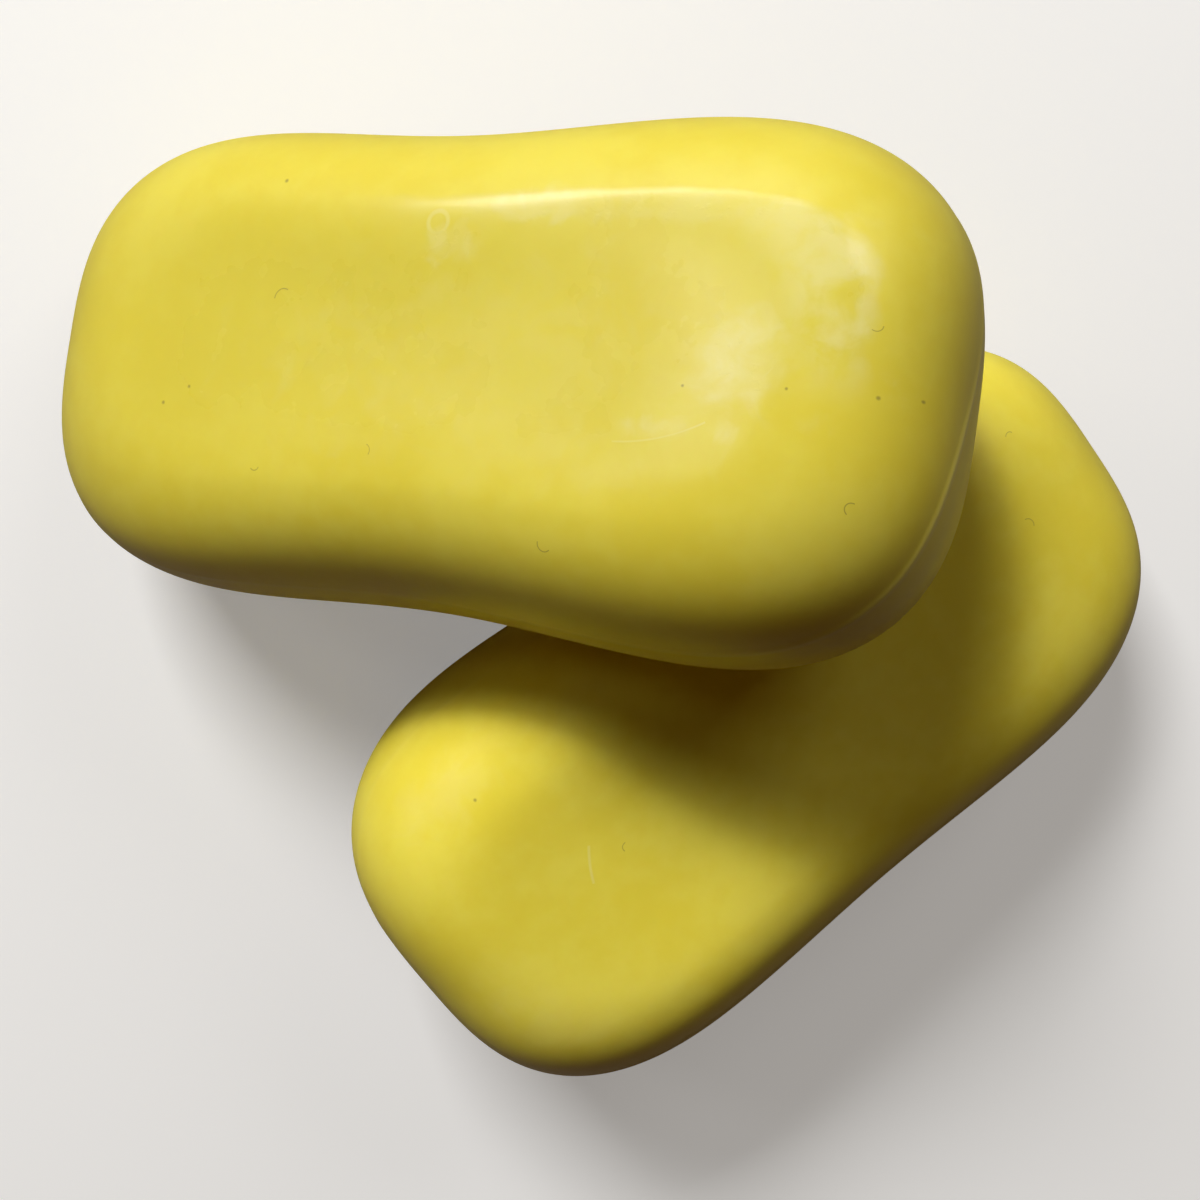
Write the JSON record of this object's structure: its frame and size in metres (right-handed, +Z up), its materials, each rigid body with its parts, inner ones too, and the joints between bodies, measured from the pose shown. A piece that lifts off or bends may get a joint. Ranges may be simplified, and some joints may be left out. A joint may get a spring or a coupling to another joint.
{
  "type": "pair of soap bars",
  "caption": "Two smooth solid pillow-shaped soap bars with softly waisted sides, one lying flat and the other leaning on it.",
  "frame": {"origin": "centre of the flat underside of the lower bar, where it rests on the table", "axes": "+Z up; +X along the lower bar's long axis, towards its narrower and thinner end; +Y towards the side on which the upper bar leans"},
  "size_m": [0.092, 0.1055, 0.0639],
  "materials": {
    "yellow_soap": "satin"
  },
  "bodies": {
    "lower_bar": {"lower_bar": "yellow_soap"},
    "upper_bar": {"upper_bar": "yellow_soap"}
  },
  "joints": [
    {"name": "upper_bar_lift", "type": "slide", "parent": "lower_bar", "child": "upper_bar", "axis": [0, 0, 1], "range_m": [0, 0.06]}
  ]
}
